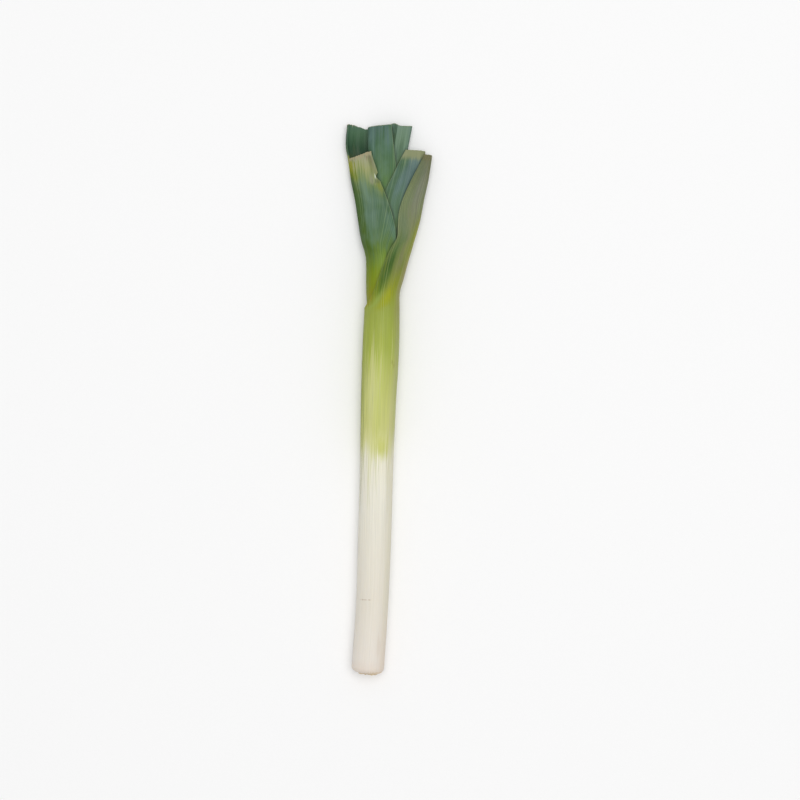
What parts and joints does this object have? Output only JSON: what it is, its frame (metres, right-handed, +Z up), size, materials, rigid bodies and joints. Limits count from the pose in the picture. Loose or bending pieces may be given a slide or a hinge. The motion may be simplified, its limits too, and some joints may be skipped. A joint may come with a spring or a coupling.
{
  "type": "leek",
  "caption": "Trimmed leek lying on its side: round white shaft shading into green, folded leaves fanning out at the top, root plate with cut root stubs.",
  "frame": {"origin": "centre of the leek's box on the surface that it lies on", "axes": "+Y along the leek from root plate to leaf tips, +Z up from the surface, +X to the right seen from above with the leaf tips away from the viewer"},
  "size_m": [0.0718, 0.4596, 0.0298],
  "materials": {
    "outer_leaf": "smooth moist leaf sheath, white at the butt and green towards the leaf, fine lengthwise veins, soft sheen",
    "leaf": "waxy blue-green leaf with fine lengthwise veins and pale margins, dried brown at some cut tips",
    "root": "dry corky tan, rough, fibrous"
  },
  "bodies": {
    "root": {"outer_leaf": "outer_leaf", "leaf_2": "leaf", "leaf_3": "leaf", "leaf_4": "leaf", "leaf_5": "leaf", "root_plate": "root"}
  },
  "joints": []
}
